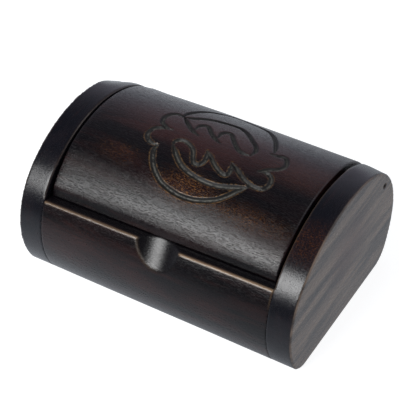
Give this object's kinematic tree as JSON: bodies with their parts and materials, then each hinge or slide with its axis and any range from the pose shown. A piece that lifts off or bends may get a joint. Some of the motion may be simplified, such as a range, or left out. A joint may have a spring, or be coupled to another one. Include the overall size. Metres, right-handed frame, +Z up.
{
  "type": "pivot-lid wooden box",
  "caption": "Carved wooden trinket box with an oval section, two end cheeks, a thumb notch and a curved lid that turns on pins between the cheeks.",
  "frame": {"origin": "middle of the flat base, on the surface that the box stands on", "axes": "+X along the box to the right cheek, -Y the front with the thumb notch, +Z up"},
  "size_m": [0.152, 0.109, 0.0764],
  "materials": {
    "stained_wood": "dark brown stain, hand polished to a satin sheen",
    "steel": "plain drawn wire"
  },
  "bodies": {
    "box": {"trough": "stained_wood", "left_cheek": "stained_wood", "right_cheek": "stained_wood", "left_hinge_pin": "steel", "right_hinge_pin": "steel"},
    "lid": {"lid": "stained_wood"}
  },
  "joints": [
    {"name": "lid_hinge", "type": "hinge", "parent": "box", "child": "lid", "pos_m": [0, 0.04052, 0.05283], "axis": [-1, 0, 0], "range_deg": [0, 135]}
  ]
}
